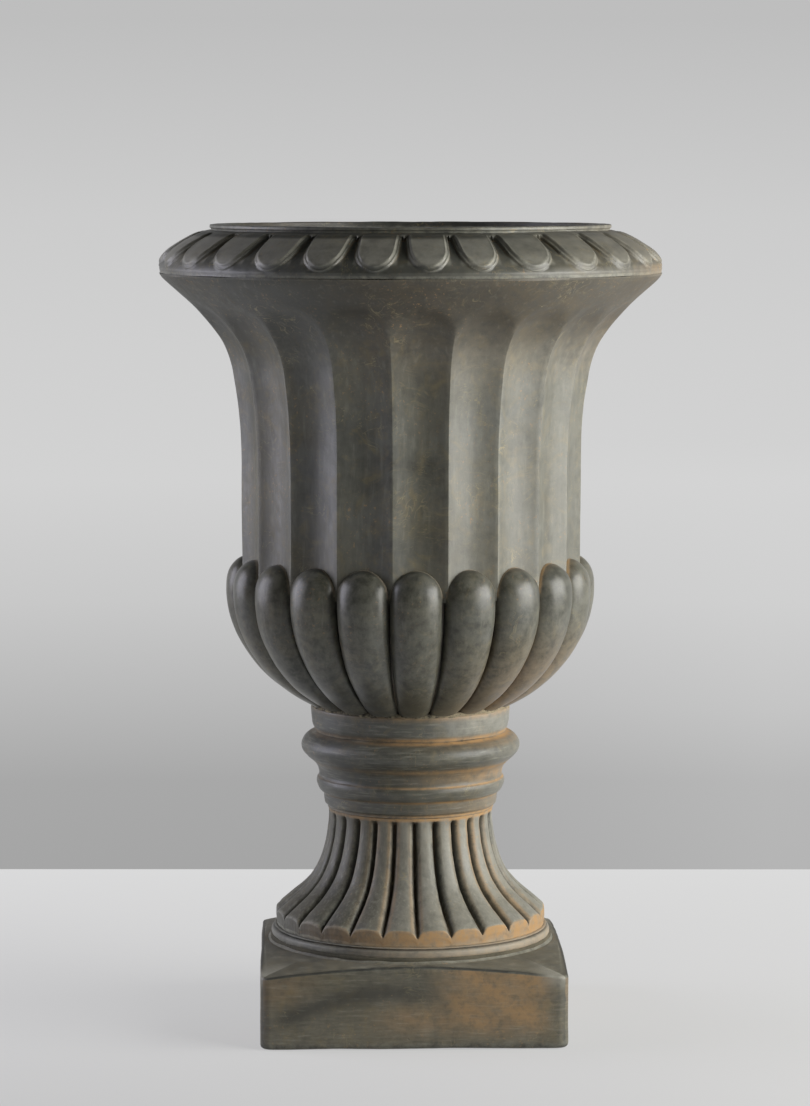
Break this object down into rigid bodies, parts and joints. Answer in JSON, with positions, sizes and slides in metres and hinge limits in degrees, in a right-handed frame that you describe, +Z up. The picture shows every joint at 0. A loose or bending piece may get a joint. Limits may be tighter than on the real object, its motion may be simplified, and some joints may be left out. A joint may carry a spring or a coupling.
{
  "type": "garden urn",
  "caption": "Tall garden urn with a fluted bell, a lobed cup and a tongued rim, on a turned and reeded pedestal with a square plinth.",
  "frame": {"origin": "middle of the plinth's underside, on the ground", "axes": "+Z up along the axis of the urn, front of the plinth towards -Y"},
  "size_m": [0.487, 0.487, 0.776],
  "materials": {
    "stone": "satin patinated cast stone",
    "mortar": "matte ochre mortar",
    "steel": "zinc-plated, dull",
    "rubber": "matte"
  },
  "bodies": {
    "urn": {"plinth": "stone", "foot_ring": "stone", "socle": "stone", "knop": "stone", "collar": "stone", "cup": "stone", "bell": "stone", "rim": "stone", "lip_ring": "stone", "plinth_bed": "mortar", "socle_bed": "mortar", "knop_bed": "mortar", "collar_bed": "mortar", "cup_bed": "mortar", "bell_bed": "mortar", "rim_bed": "mortar", "lip_bed": "mortar", "anchor_bar": "steel", "anchor_nut": "steel", "seal_washer": "rubber", "bowl_plate": "steel", "bowl_nut": "steel", "tie_rod": "steel"},
    "plug": {"drain_plug": "rubber"}
  },
  "joints": [
    {"name": "plug_lift", "type": "slide", "parent": "urn", "child": "plug", "axis": [0, 0, 1], "range_m": [0, 0.05]}
  ]
}
